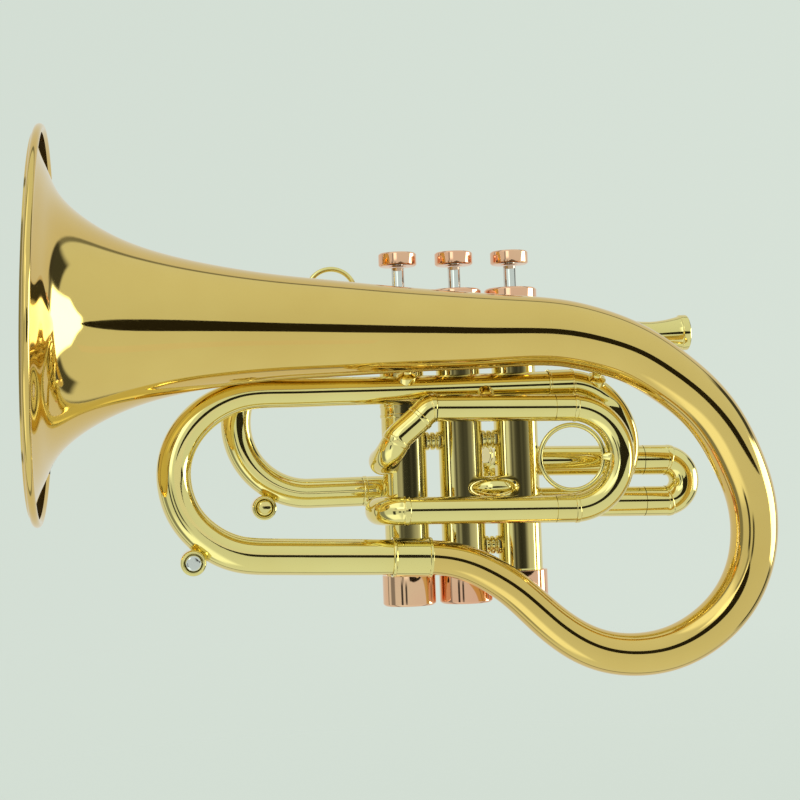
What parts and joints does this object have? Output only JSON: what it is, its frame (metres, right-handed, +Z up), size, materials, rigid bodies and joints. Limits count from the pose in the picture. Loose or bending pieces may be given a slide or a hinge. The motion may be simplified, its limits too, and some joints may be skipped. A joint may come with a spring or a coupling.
{
  "type": "cornet",
  "caption": "Brass cornet with a looped bell tail, piston valves, pull-out valve and tuning slides, a little-finger ring and plunger water keys.",
  "frame": {"origin": "centre of the middle valve's bottom cap face", "axes": "+X towards the player (receiver end), +Y towards the player's right side, +Z up along the valves"},
  "size_m": [0.322, 0.1664, 0.2414],
  "materials": {
    "lacquered_brass": "clear-lacquered yellow brass, mirror polish",
    "gold_brass": "clear-lacquered gold brass, mirror polish",
    "copper": "polished copper, mirror",
    "nickel_silver": "polished nickel silver",
    "spring_steel": "drawn wire",
    "felt": "dense wool felt"
  },
  "bodies": {
    "cornet_body": {"bell": "gold_brass", "tail_ferrule": "lacquered_brass", "front_bow": "lacquered_brass", "branch_ferrule": "lacquered_brass", "rear_crook": "lacquered_brass", "knuckle_3_2": "lacquered_brass", "knuckle_2_1": "lacquered_brass", "casing_spacer_a": "lacquered_brass", "casing_spacer_b": "lacquered_brass", "casing_spacer_c": "lacquered_brass", "third_upper_branch": "lacquered_brass", "third_upper_sleeve": "lacquered_brass", "third_lower_sleeve": "lacquered_brass", "third_lower_bend": "lacquered_brass", "first_upper_sleeve": "lacquered_brass", "first_lower_sleeve": "lacquered_brass", "second_upper_sleeve": "lacquered_brass", "second_lower_sleeve": "lacquered_brass", "leadpipe": "lacquered_brass", "receiver": "lacquered_brass", "main_lower_tube": "lacquered_brass", "water_key_body_bow": "lacquered_brass", "little_finger_ring": "lacquered_brass", "bell_brace_front": "lacquered_brass", "bell_brace_rear": "lacquered_brass", "slide_boss": "lacquered_brass", "leadpipe_post_1": "lacquered_brass", "leadpipe_post_3": "lacquered_brass", "valve_casing_1": "lacquered_brass", "bottom_cap_1": "copper", "top_cap_1": "copper", "cap_felt_1": "felt", "valve_spring_1": "spring_steel", "valve_casing_2": "lacquered_brass", "bottom_cap_2": "copper", "top_cap_2": "copper", "cap_felt_2": "felt", "valve_spring_2": "spring_steel", "valve_casing_3": "lacquered_brass", "bottom_cap_3": "copper", "top_cap_3": "copper", "cap_felt_3": "felt", "valve_spring_3": "spring_steel"},
    "valve_1": {"piston_1": "nickel_silver", "valve_stem_1": "nickel_silver", "finger_button_1": "copper"},
    "valve_2": {"piston_2": "nickel_silver", "valve_stem_2": "nickel_silver", "finger_button_2": "copper"},
    "valve_3": {"piston_3": "nickel_silver", "valve_stem_3": "nickel_silver", "finger_button_3": "copper"},
    "third_slide_body": {"third_slide": "lacquered_brass", "third_slide_ring": "lacquered_brass"},
    "first_slide_body": {"first_slide": "lacquered_brass"},
    "second_slide_body": {"second_slide": "lacquered_brass"},
    "main_slide_body": {"main_slide": "lacquered_brass", "water_key_body_slide": "lacquered_brass"},
    "water_key_slide_body": {"water_key_plunger_slide": "lacquered_brass"},
    "water_key_bow_body": {"water_key_plunger_bow": "nickel_silver"}
  },
  "joints": [
    {"name": "valve_1_press", "type": "slide", "parent": "cornet_body", "child": "valve_1", "axis": [0, 0, -1], "range_m": [0, 0.0134], "stiffness_N_per_m": 120, "springref_m": -0.012, "deforming": ["valve_spring_1"]},
    {"name": "valve_2_press", "type": "slide", "parent": "cornet_body", "child": "valve_2", "axis": [0, 0, -1], "range_m": [0, 0.0134], "stiffness_N_per_m": 120, "springref_m": -0.012, "deforming": ["valve_spring_2"]},
    {"name": "valve_3_press", "type": "slide", "parent": "cornet_body", "child": "valve_3", "axis": [0, 0, -1], "range_m": [0, 0.0134], "stiffness_N_per_m": 120, "springref_m": -0.012, "deforming": ["valve_spring_3"]},
    {"name": "third_slide_pull", "type": "slide", "parent": "cornet_body", "child": "third_slide_body", "axis": [0.9996, 0, -0.027], "range_m": [0, 0.017]},
    {"name": "first_slide_pull", "type": "slide", "parent": "cornet_body", "child": "first_slide_body", "axis": [0.9996, 0, -0.027], "range_m": [0, 0.02]},
    {"name": "second_slide_pull", "type": "slide", "parent": "cornet_body", "child": "second_slide_body", "axis": [0.5, 0.866, 0], "range_m": [0, 0.012]},
    {"name": "main_slide_pull", "type": "slide", "parent": "cornet_body", "child": "main_slide_body", "axis": [-1, 0, 0], "range_m": [0, 0.018]},
    {"name": "water_key_slide_press", "type": "slide", "parent": "main_slide_body", "child": "water_key_slide_body", "axis": [0, 1, 0], "range_m": [0, 0.002], "stiffness_N_per_m": 600, "springref_m": -0.002},
    {"name": "water_key_bow_press", "type": "slide", "parent": "cornet_body", "child": "water_key_bow_body", "axis": [0, 1, 0], "range_m": [0, 0.002], "stiffness_N_per_m": 600, "springref_m": -0.002}
  ]
}
